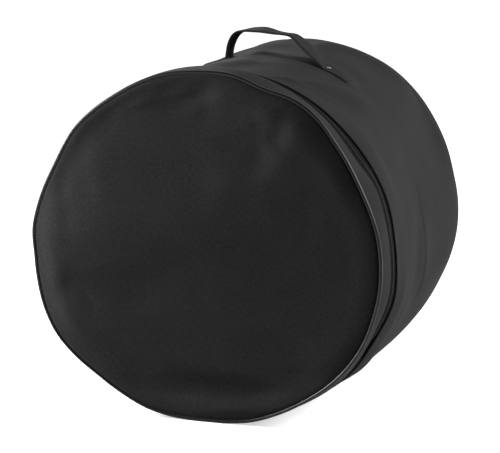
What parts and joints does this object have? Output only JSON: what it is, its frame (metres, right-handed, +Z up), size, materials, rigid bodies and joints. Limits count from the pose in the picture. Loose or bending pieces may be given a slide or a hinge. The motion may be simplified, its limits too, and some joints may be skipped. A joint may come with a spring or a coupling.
{
  "type": "drum bag",
  "caption": "Round padded bag for a bass drum, standing on its tube, with a zipped front lid that folds down, a piped edge and a strap handle on top.",
  "frame": {"origin": "on the floor under the middle of the bag", "axes": "+Z up, the tube of the bag along Y with its lid towards -Y, +X to the right as seen from the lid"},
  "size_m": [0.602, 0.509, 0.6282],
  "materials": {
    "outer_cloth": "black woven polyester, coated behind",
    "lining_cloth": "plain woven nylon",
    "foam_fill": "closed-cell foam",
    "piping_vinyl": "glossy vinyl welt",
    "binding_tape": "woven tape",
    "zipper_tape": "herringbone woven tape",
    "zipper_coil": "nylon coil",
    "slider_metal": "black enamelled zinc",
    "grip_rubber": "moulded rubber",
    "strap_webbing": "folded and sewn strap"
  },
  "bodies": {
    "root": {"body_outer_panel": "outer_cloth", "body_padding": "foam_fill", "body_lining": "lining_cloth", "back_outer_panel": "outer_cloth", "back_padding": "foam_fill", "back_lining": "lining_cloth", "back_seam_binding": "binding_tape", "hinge_outer_panel": "outer_cloth", "hinge_padding": "foam_fill", "hinge_lining": "lining_cloth", "lower_outer_panel": "outer_cloth", "lower_padding": "foam_fill", "lower_lining": "lining_cloth", "lower_piping": "piping_vinyl", "lower_piping_cord": "binding_tape", "lower_seam_binding": "binding_tape", "zip_tape_body": "zipper_tape", "zip_coil_body": "zipper_coil", "zip_end_tab_left": "outer_cloth", "zip_end_tab_right": "outer_cloth", "handle_leg_left": "strap_webbing", "handle_leg_right": "strap_webbing", "handle_tab_left": "strap_webbing", "handle_tab_right": "strap_webbing"},
    "lid": {"lid_outer_panel": "outer_cloth", "lid_padding": "foam_fill", "lid_lining": "lining_cloth", "lid_gusset_panel": "outer_cloth", "lid_gusset_padding": "foam_fill", "lid_gusset_lining": "lining_cloth", "lid_seam_binding": "binding_tape", "lid_piping": "piping_vinyl", "lid_piping_cord": "binding_tape", "zip_tape_lid": "zipper_tape", "zip_coil_lid": "zipper_coil"},
    "slider_a": {"slider_a": "slider_metal"},
    "slider_b": {"slider_b": "slider_metal"},
    "pull_a": {"pull_tab_a": "slider_metal", "pull_grip_a": "grip_rubber"},
    "pull_b": {"pull_tab_b": "slider_metal", "pull_grip_b": "grip_rubber"},
    "handle": {"handle_strap": "strap_webbing"}
  },
  "joints": [
    {"name": "lid_hinge", "type": "hinge", "parent": "root", "child": "lid", "pos_m": [0, -0.2545, 0.11066], "axis": [1, 0, 0], "range_deg": [0, 103]},
    {"name": "slider_a_travel", "type": "hinge", "parent": "root", "child": "slider_a", "pos_m": [0, -0.192, 0.287], "axis": [0, 1, 0], "range_deg": [0, 181.6]},
    {"name": "slider_b_travel", "type": "hinge", "parent": "root", "child": "slider_b", "pos_m": [0, -0.192, 0.287], "axis": [0, 1, 0], "range_deg": [-61.6, 0]},
    {"name": "pull_a_flip", "type": "hinge", "parent": "slider_a", "child": "pull_a", "pos_m": [-0.25791, -0.192, 0.44849], "axis": [0, -1, 0], "range_deg": [0, 90]},
    {"name": "pull_b_flip", "type": "hinge", "parent": "slider_b", "child": "pull_b", "pos_m": [-0.26881, -0.192, 0.42961], "axis": [0, 1, 0], "range_deg": [0, 90]},
    {"name": "handle_swing", "type": "hinge", "parent": "root", "child": "handle", "pos_m": [0.04353, 0.0075, 0.59674], "axis": [0.9903, 0, -0.1392], "range_deg": [-50, 50], "stiffness_Nm_per_rad": 0.06, "deforming": ["handle_leg_left", "handle_leg_right"]}
  ]
}
